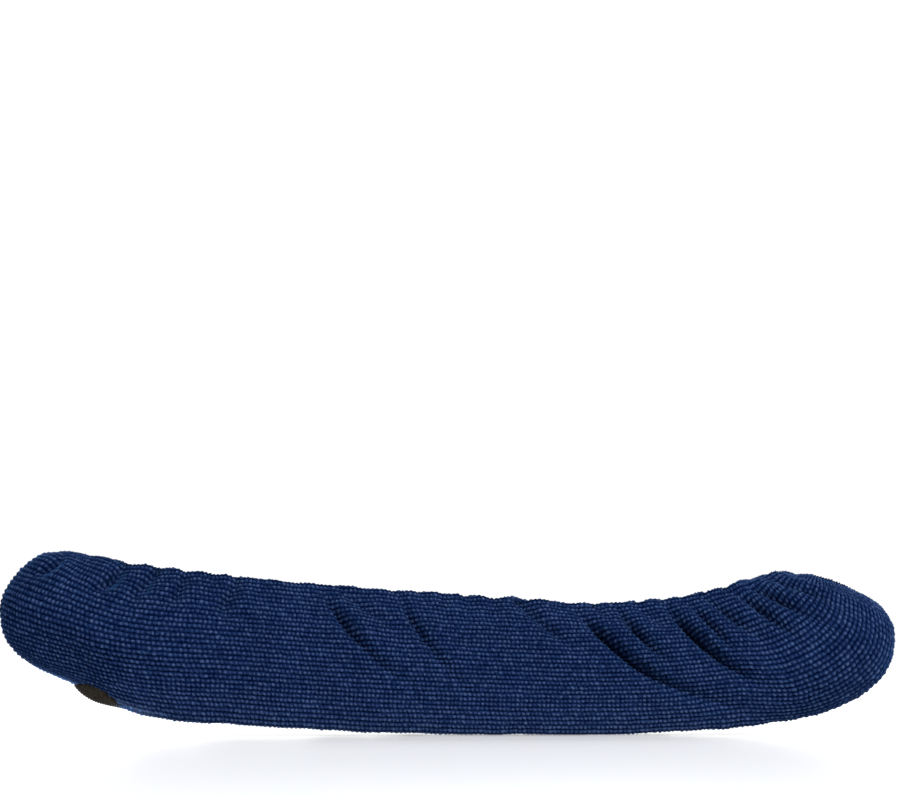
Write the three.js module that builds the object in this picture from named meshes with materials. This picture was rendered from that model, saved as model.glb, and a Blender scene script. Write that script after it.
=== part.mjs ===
// A soft terry cover for one figure-skate blade, in the shape it has on the blade.
// Millimetres, +Z up, the toe towards -X, the near side towards -Y. The origin is under the middle of the
// cover, on the surface that the sole stands on.
//
// Two terry sides are joined to each other at the toe and the heel, and to a webbing strip under the foot.
// Between the toe and the heel the mouth is open, and an elastic in its hem draws the sides in to the blade.
import * as THREE from 'three';

// --- driving dimensions ---
const LENGTH = 329.6;
const HALF_WIDTH = 18; // of the cover at its fullest
const END_ROUND = 42; // length over which the plan rounds in to a tip
const SOLE_HALF = 12; // half-width at the lower edges of the sides
const RIM_HALF = 9; // half-width at the mouth's edge
const MIDDLE_GAP = 0.2; // from the middle plane to a side, where the two sides meet
const TERRY = 2.4;
const FIT_GAP = 0.4; // between touching layers

const MOUTH_TOE = -141;
const MOUTH_HEEL = 128;
const MOUTH_TAPER = 34; // length over which each end of the mouth narrows to nothing

const SOLE_TOE = -140;
const SOLE_HEEL = 140;
const SOLE_OPENS = { toe: 28, heel: 26 }; // length over which the lower edges part, from each end of the sole
const STRIP_ROUND = 14; // length over which the toe end of the strip is rounded off
const WEBBING = 1.6;
const FLAT_TOE = -10; // the sole is flat between these two, and curves up beyond them
const FLAT_HEEL = 55;
const CROWN = { flat: 6.5, edge: 10, height: 1.1 }; // the webbing's edges are drawn up by its seams
const STRIP_INSET = 1.8; // from the sides' lower edges to the edges of the webbing
const INSET_SHARE = 0.4; // the most that this inset takes of the width, where the gap closes
const LINING_INSET = 2.6; // and to those of the terry on top of it
const NARROWEST = 1; // half-width at which a layer of the sole ends

const ELASTIC = { width: 6, thickness: 1.0 };
const FACING = { width: 10, thickness: 1.4 };
const THREAD_RADIUS = 0.25;
const SEAM = { depth: 5, width: 2 };
const TACK = { length: 4, width: 5, height: 1.2, fromEnd: 4, belowRim: 4 };

// The side view, toe to heel. Each row is one section: the lower edge's x, z and then the upper edge's x, z.
const SECTIONS = [
  [-164.7, 40.5, -164.7, 45],
  [-161.8, 33, -162.6, 54],
  [-153.5, 25.8, -155.5, 63.6],
  [-141, 19.5, -144.5, 67.9],
  [-126, 13.9, -129, 65.8],
  [-109, 8.2, -109, 62.2],
  [-70, 4.2, -70, 57.6],
  [-30, 1.8, -30, 54.2],
  [10, 0.8, 10, 51.3],
  [50, 0.7, 48, 48.8],
  [84, 1.8, 80, 50.2],
  [108, 3.6, 103, 55.4],
  [128, 5.8, 121, 60.2],
  [144, 10.2, 135, 58.8],
  [156, 17.2, 148, 54.6],
  [162.8, 25.5, 159, 48],
  [164.7, 34.5, 164.7, 40],
];

// The underside of the webbing along its middle, as x and z. At the toe it hangs below the terry.
const SOLE_PROFILE = [
  [-143, 21.5],
  [-140, 17.6],
  [-136, 13.6],
  [-130, 10.6],
  [-121, 8.8],
  [-107, 6.2],
  [-85, 4],
  [-60, 2.3],
  [-35, 0.9],
  [FLAT_TOE, 0],
  [22, 0],
  [FLAT_HEEL, 0],
  [85, 1],
  [108, 2.9],
  [128, 5.2],
  [141, 8.4],
];

const COLOURS = { terry: 0x172a4e, webbing: 0x2b2a28, elastic: 0xd8d6cf, thread: 0x12244a };

const EDGE_LINE = new THREE.SplineCurve(SECTIONS.map(([x, z]) => new THREE.Vector2(x, z)));
const RIM_LINE = new THREE.SplineCurve(SECTIONS.map(([, , x, z]) => new THREE.Vector2(x, z)));

const SOLE_LINE = new THREE.SplineCurve(SOLE_PROFILE.map(([x, z]) => new THREE.Vector2(x, z)));

const { lerp, smoothstep, clamp } = THREE.MathUtils;

// The parameter at which a line that runs from toe to heel reaches a given x.
function parameterAt(line, x) {
  let [low, high] = [0, 1];
  for (let i = 0; i < 40; i += 1) {
    const mid = (low + high) / 2;
    if (line.getPoint(mid).x < x) low = mid;
    else high = mid;
  }
  return low;
}

// One section through the cover, at s from 0 at the toe to 1 at the heel.
function section(s) {
  const edge = EDGE_LINE.getPoint(s);
  const rim = RIM_LINE.getPoint(s);
  const middle = edge.clone().add(rim).multiplyScalar(0.5);
  const fromTip = LENGTH / 2 - Math.abs(middle.x);
  const round = clamp(fromTip / END_ROUND, 0.01, 1);
  const half = HALF_WIDTH * Math.sqrt(1 - (1 - round) ** 2);
  const open =
    smoothstep(rim.x, MOUTH_TOE, MOUTH_TOE + MOUTH_TAPER) *
    (1 - smoothstep(rim.x, MOUTH_HEEL - MOUTH_TAPER, MOUTH_HEEL));
  return { edge, rim, middle, half, open, soleHalf: Math.min(soleWidth(edge.x), half * 0.9) };
}

// Half-width between the lower edges of the sides, at x.
function soleWidth(x) {
  const toeEnd = smoothstep(x, SOLE_TOE - 2, SOLE_TOE + SOLE_OPENS.toe);
  const heelEnd = 1 - smoothstep(x, SOLE_HEEL - SOLE_OPENS.heel, SOLE_HEEL + 2);
  return SOLE_HALF * Math.min(toeEnd, heelEnd);
}

// Half-width of the webbing, which hangs below the sides at the toe and so is wider there than the gap.
function stripWidth(x) {
  const round = clamp((x - SOLE_TOE) / STRIP_ROUND, 0, 1);
  const tongue = (SOLE_HALF - STRIP_INSET) * Math.sqrt(1 - (1 - round) ** 2);
  const heelEnd = soleWidth(x) - Math.min(STRIP_INSET, INSET_SHARE * soleWidth(x));
  return x < FLAT_TOE ? tongue : heelEnd;
}

// A point of a side: side is -1 near or +1 far, t runs from 0 at the lower edge to 1 at the rim, and depth is
// how far inside the outer surface it lies.
function sidePoint(side, s, t, depth) {
  const { edge, rim, middle, half, open, soleHalf } = section(s);
  const tall = edge.distanceTo(rim) / 2;
  const across = lerp(soleHalf, RIM_HALF * open, t);
  const arch = 2 * Math.sqrt(t * (1 - t));
  const upright = open * smoothstep(t, 0.3, 0.8);
  const belly = (half - (soleHalf + RIM_HALF * open) / 2) * arch ** (1 + upright);
  const keepAcross = Math.max(0.05, 1 - depth / half);
  const keepTall = Math.max(0.05, 1 - depth / tall);
  const y = side * (MIDDLE_GAP + (across + belly) * keepAcross);
  const up = rim.clone().sub(middle).multiplyScalar((2 * t - 1) * keepTall);
  return new THREE.Vector3(middle.x + up.x, y, middle.y + up.y);
}

// A closed sheet between two grids of points of one size; flip turns its faces round.
function sheetSolid(outer, inner, flip) {
  const rows = outer.length;
  const columns = outer[0].length;
  const points = [...outer.flat(), ...inner.flat()];
  const at = (layer, i, j) => (layer * rows + i) * columns + j;
  const index = [];
  const quad = (a, b, c, d) => index.push(...(flip ? [a, c, b, a, d, c] : [a, b, c, a, c, d]));
  for (let i = 0; i < rows - 1; i += 1) {
    for (let j = 0; j < columns - 1; j += 1) {
      quad(at(0, i, j), at(0, i + 1, j), at(0, i + 1, j + 1), at(0, i, j + 1));
      quad(at(1, i, j), at(1, i, j + 1), at(1, i + 1, j + 1), at(1, i + 1, j));
    }
    quad(at(0, i, 0), at(1, i, 0), at(1, i + 1, 0), at(0, i + 1, 0));
    quad(at(0, i, columns - 1), at(0, i + 1, columns - 1), at(1, i + 1, columns - 1), at(1, i, columns - 1));
  }
  for (let j = 0; j < columns - 1; j += 1) {
    quad(at(0, 0, j), at(0, 0, j + 1), at(1, 0, j + 1), at(1, 0, j));
    quad(at(0, rows - 1, j), at(1, rows - 1, j), at(1, rows - 1, j + 1), at(0, rows - 1, j + 1));
  }
  const geometry = new THREE.BufferGeometry().setFromPoints(points);
  geometry.setIndex(index);
  geometry.computeVertexNormals();
  return geometry;
}

function grid(iCount, jCount, pointAt) {
  return Array.from({ length: iCount + 1 }, (_, i) =>
    Array.from({ length: jCount + 1 }, (__, j) => pointAt(i / iCount, j / jCount)),
  );
}

// A tube of thread along a list of points.
function threadTube(points) {
  const round = new THREE.Shape().absarc(0, 0, THREAD_RADIUS, 0, 2 * Math.PI);
  const path = new THREE.CatmullRomCurve3(points);
  return new THREE.ExtrudeGeometry(round, {
    steps: points.length - 1,
    curveSegments: 6,
    bevelEnabled: false,
    extrudePath: path,
  });
}

const cover = new THREE.Group();

function addPiece(name, geometry, colour, roughness = 1) {
  const material = new THREE.MeshStandardMaterial({ color: colour, roughness, metalness: 0 });
  const mesh = new THREE.Mesh(geometry, material);
  mesh.name = name;
  cover.add(mesh);
}

// --- the two sides, with the layers of the hem inside the mouth ---
const SIDE_STEPS = { along: 40, up: 9 };
const HEM_STEPS = { along: 28, up: 2 };

const HEM_ENDS = 0.72; // share of each taper of the mouth that the layers of the hem leave free
const HEM_FROM = parameterAt(RIM_LINE, MOUTH_TOE + MOUTH_TAPER * HEM_ENDS);
const HEM_TO = parameterAt(RIM_LINE, MOUTH_HEEL - MOUTH_TAPER * HEM_ENDS);

// The value of t a given distance below the rim.
function belowRim(s, drop) {
  const { edge, rim } = section(s);
  return 1 - drop / edge.distanceTo(rim);
}

function sidePanel(side) {
  const skin = (depth) =>
    grid(SIDE_STEPS.along, SIDE_STEPS.up, (s, a) => {
      const t = (1 - Math.cos(Math.PI * a)) / 2;
      return sidePoint(side, s, t, depth);
    });
  return sheetSolid(skin(0), skin(TERRY), side > 0);
}

function hemLayer(side, depth, thickness, from, width) {
  const skin = (at) =>
    grid(HEM_STEPS.along, HEM_STEPS.up, (u, v) => {
      const s = lerp(HEM_FROM, HEM_TO, u);
      return sidePoint(side, s, belowRim(s, from + width * (1 - v)), at);
    });
  return sheetSolid(skin(depth), skin(depth + thickness), side > 0);
}

function hemThread(side, depth, drop) {
  const points = Array.from({ length: 41 }, (_, i) => {
    const s = lerp(HEM_FROM, HEM_TO, 0.01 + (0.98 * i) / 40);
    return sidePoint(side, s, belowRim(s, drop), depth);
  });
  return threadTube(points);
}

const ELASTIC_DEPTH = TERRY + FIT_GAP;
const FACING_DEPTH = ELASTIC_DEPTH + ELASTIC.thickness + FIT_GAP;
const HEM_THREAD_DEPTH = FACING_DEPTH + FACING.thickness + FIT_GAP + THREAD_RADIUS;

const ELASTIC_DROP = 1;
const STITCHED_FROM_EDGE = 1.5;

for (const [name, side] of [['near', -1], ['far', 1]]) {
  const elastic = hemLayer(side, ELASTIC_DEPTH, ELASTIC.thickness, ELASTIC_DROP, ELASTIC.width);
  const facing = hemLayer(side, FACING_DEPTH, FACING.thickness, 0, FACING.width);
  const stitching = hemThread(side, HEM_THREAD_DEPTH, FACING.width - STITCHED_FROM_EDGE);
  addPiece(`${name}_side_panel`, sidePanel(side), COLOURS.terry);
  addPiece(`${name}_elastic`, elastic, COLOURS.elastic, 0.7);
  addPiece(`${name}_hem_facing`, facing, COLOURS.terry);
  addPiece(`${name}_hem_stitching`, stitching, COLOURS.thread, 0.6);
}

// --- the layers under the blade: webbing outside, terry on top of it ---
function soleHeight(x) {
  const u = parameterAt(SOLE_LINE, x);
  return Math.max(0, SOLE_LINE.getPoint(u).y);
}

function crown(y) {
  return CROWN.height * smoothstep(Math.abs(y), CROWN.flat, CROWN.edge);
}

const TOE_CROWDING = 1.6; // brings the stations closer together round the strip's toe end
const soleStations = (() => {
  const toe = Array.from({ length: 29 }, (_, i) => lerp(SOLE_TOE, FLAT_TOE, (i / 28) ** TOE_CROWDING));
  const heel = Array.from({ length: 15 }, (_, i) => lerp(FLAT_HEEL, SOLE_HEEL, i / 14));
  return [...toe, ...heel];
})();

function soleLayer(bottom, thickness, halfWidth) {
  const across = [-1, -CROWN.flat / CROWN.edge, CROWN.flat / CROWN.edge, 1];
  const stations = soleStations.filter((x) => halfWidth(x) > NARROWEST);
  const skin = (height) =>
    stations.map((x) =>
      across.map((v) => {
        const y = v * halfWidth(x);
        return new THREE.Vector3(x, y, soleHeight(x) + crown(y) + height);
      }),
    );
  return sheetSolid(skin(bottom), skin(bottom + thickness), true);
}

function soleThread(side) {
  const y = side * (CROWN.edge - 1);
  const points = soleStations
    .filter((x) => stripWidth(x) > CROWN.edge)
    .map((x) => new THREE.Vector3(x, y, soleHeight(x) + crown(y) - FIT_GAP - THREAD_RADIUS));
  return threadTube(points);
}

const liningWidth = (x) => soleWidth(x) - LINING_INSET;
addPiece('sole_strip', soleLayer(0, WEBBING, stripWidth), COLOURS.webbing, 0.8);
addPiece('sole_terry', soleLayer(WEBBING + FIT_GAP, TERRY, liningWidth), COLOURS.terry);
addPiece('near_sole_stitching', soleThread(-1), COLOURS.thread, 0.6);
addPiece('far_sole_stitching', soleThread(1), COLOURS.thread, 0.6);

// --- the seams inside the toe and the heel, and the tacks at the ends of the mouth ---
function seamBand(outline) {
  const line = (depth) =>
    outline.map((point, i) => {
      const before = outline[Math.max(0, i - 1)];
      const after = outline[Math.min(outline.length - 1, i + 1)];
      const along = after.clone().sub(before).normalize();
      return new THREE.Vector2(point.x - along.y * depth, point.y + along.x * depth);
    });
  const outer = line(TERRY + FIT_GAP);
  const inner = line(TERRY + FIT_GAP + SEAM.depth);
  const face = (y) => outer.map((point, i) => [point, inner[i]].map((p) => new THREE.Vector3(p.x, y, p.y)));
  return sheetSolid(face(-SEAM.width / 2), face(SEAM.width / 2), false);
}

// The seams run round the tips, anticlockwise in the side view. The numbers are parameters along each line.
const TOE_TIP = new THREE.Vector2(-LENGTH / 2, 43);
const HEEL_TIP = new THREE.Vector2(LENGTH / 2, 37.5);
const along = (line, parameters) => parameters.map((s) => line.getPoint(s));
const TOE_OUTLINE = [
  ...along(RIM_LINE, [0.155, 0.12, 0.09, 0.06]),
  TOE_TIP,
  ...along(EDGE_LINE, [0.06, 0.09, 0.12, 0.15]),
];
const HEEL_OUTLINE = [
  ...along(EDGE_LINE, [0.855, 0.885, 0.915, 0.945]),
  HEEL_TIP,
  ...along(RIM_LINE, [0.945, 0.915, 0.885, 0.84]),
];
addPiece('toe_seam', seamBand(TOE_OUTLINE), COLOURS.terry);
addPiece('heel_seam', seamBand(HEEL_OUTLINE), COLOURS.terry);

function tackBlock(x) {
  const rim = RIM_LINE.getPoint(parameterAt(RIM_LINE, x));
  return new THREE.BoxGeometry(TACK.length, TACK.width, TACK.height).translate(x, 0, rim.y - TACK.belowRim);
}
addPiece('toe_bartack', tackBlock(MOUTH_TOE + TACK.fromEnd), COLOURS.thread, 0.6);
addPiece('heel_bartack', tackBlock(MOUTH_HEEL - TACK.fromEnd), COLOURS.thread, 0.6);

export default cover;
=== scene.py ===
import math

import bpy
import numpy as np
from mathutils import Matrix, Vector


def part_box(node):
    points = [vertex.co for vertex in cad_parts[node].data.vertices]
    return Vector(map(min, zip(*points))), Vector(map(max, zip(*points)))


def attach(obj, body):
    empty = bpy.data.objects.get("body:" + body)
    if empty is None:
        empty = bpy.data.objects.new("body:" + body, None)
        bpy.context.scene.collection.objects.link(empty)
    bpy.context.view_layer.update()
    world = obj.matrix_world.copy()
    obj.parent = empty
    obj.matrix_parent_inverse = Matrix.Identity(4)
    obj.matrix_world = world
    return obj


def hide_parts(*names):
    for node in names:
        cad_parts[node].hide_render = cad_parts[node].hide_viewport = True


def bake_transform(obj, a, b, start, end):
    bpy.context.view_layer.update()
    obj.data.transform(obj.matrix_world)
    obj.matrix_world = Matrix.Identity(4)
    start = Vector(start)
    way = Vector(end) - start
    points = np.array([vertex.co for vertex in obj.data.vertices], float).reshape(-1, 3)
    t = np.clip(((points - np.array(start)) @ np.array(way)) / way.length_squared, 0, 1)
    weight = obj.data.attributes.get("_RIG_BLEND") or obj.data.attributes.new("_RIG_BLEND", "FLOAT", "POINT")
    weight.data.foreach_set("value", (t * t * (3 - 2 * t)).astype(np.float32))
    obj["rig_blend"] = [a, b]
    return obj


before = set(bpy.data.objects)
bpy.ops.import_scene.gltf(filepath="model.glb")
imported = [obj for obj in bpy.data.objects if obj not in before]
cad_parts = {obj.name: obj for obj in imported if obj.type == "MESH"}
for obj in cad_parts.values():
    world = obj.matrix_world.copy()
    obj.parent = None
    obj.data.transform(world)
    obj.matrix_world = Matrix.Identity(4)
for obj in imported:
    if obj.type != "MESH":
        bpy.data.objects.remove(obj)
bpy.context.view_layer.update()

# A soft terry cover for one figure-skate blade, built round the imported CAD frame.
#
# Shapes are worked out in millimetres in the row frame (toe at -X, near side at -Y, +Z up) and made in metres.
# The side view is the same set of sections as in the CAD part. The terry sides are laid out on a grid that
# follows the knit: one cell of ACROSS by UP faces is one tuft of the pile.

MM = 0.001


def cad_reach(node_name, axis):
    """The lowest and highest place, in mm, of a CAD node along one axis."""
    return tuple(round(float(corner[axis]) / MM, 1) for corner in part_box(node_name))


# --- the cover's dimensions in mm, as in the CAD part ---
HALF_WIDTH = 18.0  # of the sides, from the middle plane
END_ROUND = 42.0  # length over which the toe and the heel close
SOLE_HALF = 12.0  # half the gap between the sides' lower edges
RIM_HALF = 9.0  # half the gap between their rims
TERRY = 2.4  # thickness with the pile
MOUTH_TOE, MOUTH_HEEL, MOUTH_TAPER = -141.0, 128.0, 34.0  # the mouth's ends, and the length it opens over
BELLY_RISE = (0.3, 0.8)  # between these shares of a side's height, its belly gives way to the mouth
SOLE_TOE, SOLE_HEEL = cad_reach("sole_strip", 0)
# Over these lengths, inside and beyond the strip's ends, the sides' lower edges part.
OPENS_TOE, OPENS_HEEL, OPENS_BEYOND = 28.0, 26.0, 2.0

# --- the layers under the blade ---
WEBBING = 1.6  # thickness of the strip
STRIP_FROM, STRIP_SHORTER = 1.4, 4.6  # where it starts behind SOLE_TOE, and how much shorter than the CAD's
STRIP_ROUND = 14.0  # length over which its toe end is rounded off
STRIP_INSET, INSET_SHARE = 0.6, 0.1  # how far it keeps from the sides, and the most of the gap that this takes
CROWN_HEIGHT = 1.1  # the least height by which its edges curl up
CURL = (0.35, 1)  # the shares of its half-width between which they do
LINING_FROM, LINING_TO, LINING_LIFT = 12.5, 7.0, 0.4  # distance from the strip's ends, and above the strip
LINING_INSET, LINING_OVER = 1.4, 1.0  # how far its edges keep back at the toe, and go under the sides elsewhere
LINING_WIDENS = (15, 40)  # where behind SOLE_TOE the one goes over into the other
SOLE_STITCH_FROM, SOLE_STITCH_TO = 34, 17  # distance from the strip's ends
SOLE_STITCH_OUT = 9.0  # from its middle line

# Each row is one section: the lower edge's x and z, then the upper edge's x and z.
SECTIONS = np.array([
    [-164.7, 40.5, -164.7, 45], [-161.8, 33, -162.6, 54], [-153.5, 25.8, -155.5, 63.6],
    [-141, 19.5, -144.5, 67.9], [-126, 13.9, -129, 65.8], [-109, 8.2, -109, 62.2],
    [-70, 4.2, -70, 57.6], [-30, 1.8, -30, 54.2], [10, 0.8, 10, 51.3], [50, 0.7, 48, 48.8],
    [84, 1.8, 80, 50.2], [108, 3.6, 103, 55.4], [128, 5.8, 121, 60.2], [144, 10.2, 135, 58.8],
    [156, 17.2, 148, 54.6], [162.8, 25.5, 159, 48], [164.7, 34.5, 164.7, 40],
], float)
RIM_BELOW = 1.1  # how far the cloth's rim lies below the tips of its pile
EDGE, RIM = SECTIONS[:, :2], SECTIONS[:, 2:] - [0, RIM_BELOW]
RIM[[0, 1, -2, -1]] = SECTIONS[[0, 1, -2, -1], 2:]
TIP = -SECTIONS[0, 0]  # the toe's and the heel's distance from the middle
THINNEST = 0.05  # the least share of a dimension that is left deep inside the cover
SOLE_SHARE = 0.9  # the most of the half-width that the gap for the sole takes
# The underside of the sole strip, as (x, z).
SOLE_PROFILE = np.array([
    [-143, 23], [-139, 18.6], [-135, 14.6], [-129.5, 11.6], [-121, 9.6], [-107, 6.7], [-85, 4.6], [-60, 3.1],
    [-35, 1.7], [-10, 0.2], [22, 0], [55, 0], [85, 1], [108, 2.9], [128, 5.2], [141, 8.4],
], float)

# --- the knit ---
COLUMNS, ROWS = 204, 32
ACROSS, UP = 3, 4  # faces across and up one tuft
ROLL = 4  # faces round each turned edge
CLOTH = 1.3  # thickness without the pile
PILE, PILE_SUNK = 0.8, 0.25  # height of the tufts, and how far their feet lie inside the side's surface
HANG_REACH = 5.0  # how far up from the lower edge the side hangs down with it
LOWEST = 0.05  # no tuft of a side goes lower than this
WANDER = 0.2  # how far the tufts stray from an even grid, in cells
TOE_CLOSER, TOE_SHARE = 0.05, 0.12  # how much closer the columns stand at the toe, over what share of them
TOE_CORNER, HEEL_CORNER = -150, 0.925  # where the knit's corners lie: x at the toe, share of EDGE at the heel
TOE_FAN, HEEL_FAN = (0, 0.3), (0.85, 1)  # the shares of the columns that bend round the toe and the heel
RIM_STEPS, EVENED = 2000, 61  # steps along the mouth, and how many the columns' spacing is averaged over
FINE = 4000  # steps in which a whole line of the side view is measured
ROW_SHIFT = 0.35  # how far each row of tufts is shifted at random, in cells
TUFT_SIZES, TUFT_FUZZ = (0.75, 1.1), 0.07  # the range of their heights, and the fine unevenness on them
BRIDGE = 0.2  # height of the pile between two tufts of one row
HALVINGS = 26  # when a place is found by halving an interval
# Where the knit's columns start on the rim (x) and how far along the lower outline they end.
COLUMN_ENDS = np.array([
    [-143, 0], [-125, 35], [-100, 64], [-50, 116], [0, 167], [50, 217], [80, 249], [98, 274], [108, 293],
    [113.5, 309], [117, 320], [120.5, 334], [123, 340], [126, 346],
], float)

# --- the folds ---
# Creases in the cloth: places along each one as (x, z), then its depth and half-width.
CREASES = [
    ([(-141, 66), (-146, 62.5), (-152, 59.5), (-158, 57)], 3.4, 1.4),
    ([(-119.5, 63), (-123, 58), (-127.5, 54.5), (-134, 53)], 5.0, 1.4),
    ([(-106.5, 61.5), (-110.5, 57), (-115, 52), (-119, 47)], 5.0, 1.4),
    ([(-97, 60), (-99, 55), (-101, 50), (-103, 45)], 4.0, 1.3),
    ([(-77, 58), (-81, 52), (-83.5, 46), (-83, 40)], 3.2, 1.6),
    ([(-86, 49), (-80, 44), (-72, 40), (-60, 36)], 0.9, 3.0),
    ([(-49.5, 55), (-44, 46.5), (-39, 39), (-33.5, 32.5), (-26, 25), (-18, 19), (-6, 10)], 2.7, 1.25),
    ([(-42, 54), (-36, 49), (-28, 43), (-18, 36)], 2.4, 1.4),
    ([(-21, 53), (-16.5, 44), (-11, 35.5), (-4.5, 27), (4, 17), (12, 8)], 2.5, 1.3),
    ([(-1, 39), (6.5, 33), (14, 29), (22, 24)], 1.0, 2.8),
    ([(21, 51), (27.5, 45.5), (34, 39.5), (41, 33.5), (50, 26)], 3.8, 1.6),
    ([(43, 47), (49, 41.5), (57, 33.5), (66, 25.5), (76.5, 19), (89, 14), (103, 9), (118, 6)], 4.6, 1.4),
    ([(50, 49.5), (55, 45), (60, 39.5)], 2.2, 1.2),
    ([(60, 47.5), (63.5, 42), (70.5, 33.5), (78, 26.5), (87, 18)], 3.0, 1.1),
    ([(65, 49.5), (72.5, 43.5), (80, 40), (88, 36)], 2.4, 1.6),
    ([(75, 50.5), (83, 41.5), (92, 32), (102, 24), (112, 18.5), (126, 14)], 4.8, 1.4),
    ([(84.5, 49.5), (92, 42.5), (98.5, 35), (104, 29.5), (110, 23)], 2.8, 1.1),
    ([(91, 52), (100, 44.5), (109, 37.5), (119, 30.5)], 2.6, 1.2),
    ([(98.5, 54.5), (108, 49), (117, 42), (126, 35), (135, 27.5)], 2.8, 1.1),
    ([(106, 55.5), (116.5, 50.5), (125.5, 46), (135, 41.5), (146, 36)], 2.8, 1.1),
    ([(114, 58), (124, 54.5), (134, 51.5), (145, 46.5), (156, 40)], 2.4, 1.2),
    ([(123, 59.5), (133, 56.5), (143, 53.5), (154, 48)], 1.8, 1.2),
]
# Broad swells, in the same form; a height below 0 is a hollow.
SWELLS = [
    ([(-164, 49), (-148, 45), (-129, 36.5), (-99, 27), (-80, 23)], 1.8, 4.5),
    ([(-163, 37), (-147, 31.5), (-130, 24.5), (-110, 18), (-96, 15)], -1.3, 5.0),
    ([(-40, 46), (-24, 31), (-6, 15)], 1.2, 4.5),
    ([(30, 46), (48, 32), (72, 13)], 1.2, 6.0),
    ([(70, 40), (88, 24), (110, 12)], 1.0, 4.5),
]
CREASE_FADES = (-0.05, 0.25), (0.3, 1)  # the shares of a crease in which it comes up and dies away
CREASE_WIDENS = (0.8, 0.6)  # its width at its start, and how much that grows to its end
VALLEY, EASY, STEEP = 1.3, 1.5, 0.85  # its depth, and how wide it is on its heel side and its toe side
UPPER_RIDGE = (0.36, 3.6, 2.2)  # height, distance from the crease and width, in its depths and widths
LOWER_RIDGE = (0.22, 2.6, 1.7)
SWELL_FADES = (0, 0.2), (0.5, 1)
WAVES = ((0.2, 26), (0.08, 11))  # height and length of the cloth's slight waves
SEED_SHIFT = 6.5  # how far the far side's folds lie from the near side's
HEM_FOLDS, HEM_BAND = 0.42, (3, 15)  # the share of a crease left at the thick hem, and the drops where it grows
GATHER, GATHER_PITCH, GATHER_DROP = 0.55, 10.7, 9  # the mouth's gathers: height, pitch and reach below the rim

# --- the pile's shade, which its colour follows, and the painted light along its edges ---
PLAIN_CLOTH = 0.35  # the shade of cloth without pile
PAINTED_EDGE_LIGHT = ((0.16, 3), (0.1, 13))  # painted light: how much paler the pile is painted at the lower edge, for light bounced up from the table and rim light on the fuzz, and how far up from it
PAINTED_END_LIGHT = (0.16, 5)  # the same painted light for the toe's and the heel's ends
PAINTED_FRINGE_LIGHT, PAINTED_FRINGE_TOE = (0.85, 4.8), (100, 124)  # the same painted light for the fringe of fuzz under the toe, and the -x between which it begins


def smooth(x, low, high):
    """Rises smoothly from 0 at low to 1 at high."""
    t = np.clip((x - low) / (high - low), 0, 1)
    return t * t * (3 - 2 * t)


def spline(points, u):
    """The uniform Catmull-Rom curve through points, at u from 0 to 1."""
    last = len(points) - 1
    at = np.clip(u, 0, 1) * last
    k = np.minimum(at.astype(int), last)
    w = (at - k).reshape(np.shape(at) + (1,) * (points.ndim - 1))
    p0, p1, p2, p3 = (points[np.clip(k + i, 0, last)] for i in (-1, 0, 1, 2))
    v1, v2 = (p2 - p0) / 2, (p3 - p1) / 2
    return (2 * p1 - 2 * p2 + v1 + v2) * w**3 + (3 * p2 - 3 * p1 - 2 * v1 - v2) * w**2 + v1 * w + p1


def sole_width(x):
    """Half the gap between the sides' lower edges, which closes towards the toe and the heel."""
    toe = smooth(x, SOLE_TOE - OPENS_BEYOND, SOLE_TOE + OPENS_TOE)
    heel = 1 - smooth(x, SOLE_HEEL - OPENS_HEEL, SOLE_HEEL + OPENS_BEYOND)
    return SOLE_HALF * np.minimum(toe, heel)


def strip_width(x):
    """Half-width of the webbing, which is rounded off at the toe and narrows with the sides at the heel."""
    before = 0.1  # keeps the first section of the strip open
    rounding = np.clip((x - SOLE_TOE - STRIP_FROM + before) / STRIP_ROUND, 0, 1)
    tongue = (SOLE_HALF - STRIP_INSET) * np.sqrt(1 - (1 - rounding) ** 2)
    gap = sole_width(x)
    return np.where(x < 0, tongue, gap - np.minimum(STRIP_INSET, INSET_SHARE * gap))


def side_point(s, t, depth=0.0):
    """A point of the cover as (x, distance from the middle plane, z). s runs from toe to heel and t from the
    lower edge to the rim; depth is how far inside the outer surface the point lies."""
    edge, rim = spline(EDGE, s), spline(RIM, s)
    middle = (edge + rim) / 2
    round_in = np.clip((TIP - np.abs(middle[..., 0])) / END_ROUND, 0, 1)
    half = HALF_WIDTH * np.sqrt(1 - (1 - round_in) ** 2)
    mouth = smooth(rim[..., 0], MOUTH_TOE, MOUTH_TOE + MOUTH_TAPER)
    mouth = mouth * (1 - smooth(rim[..., 0], MOUTH_HEEL - MOUTH_TAPER, MOUTH_HEEL))
    sole = np.minimum(sole_width(edge[..., 0]), half * SOLE_SHARE)
    tall = np.linalg.norm(rim - edge, axis=-1) / 2
    across = sole * (1 - t) + RIM_HALF * mouth * t
    arch = 2 * np.sqrt(np.clip(t * (1 - t), 0, 1))
    belly = (half - (sole + RIM_HALF * mouth) / 2) * arch ** (1 + mouth * smooth(t, *BELLY_RISE))
    y = (across + belly) * np.maximum(THINNEST, 1 - depth / np.maximum(half, 0.1))
    up = (rim - middle) * ((2 * t - 1) * np.maximum(THINNEST, 1 - depth / tall))[..., None]
    return np.stack([middle[..., 0] + up[..., 0], y, middle[..., 1] + up[..., 1]], axis=-1)


def outward_at(s, t):
    """The outward unit normal of the cover's far half at s and t."""
    step = 0.004
    along = side_point(s + step, t) - side_point(s - step, t)
    up = side_point(s, t + step) - side_point(s, t - step)
    out = -np.cross(along, up)
    return out / np.linalg.norm(out, axis=-1, keepdims=True)


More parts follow.
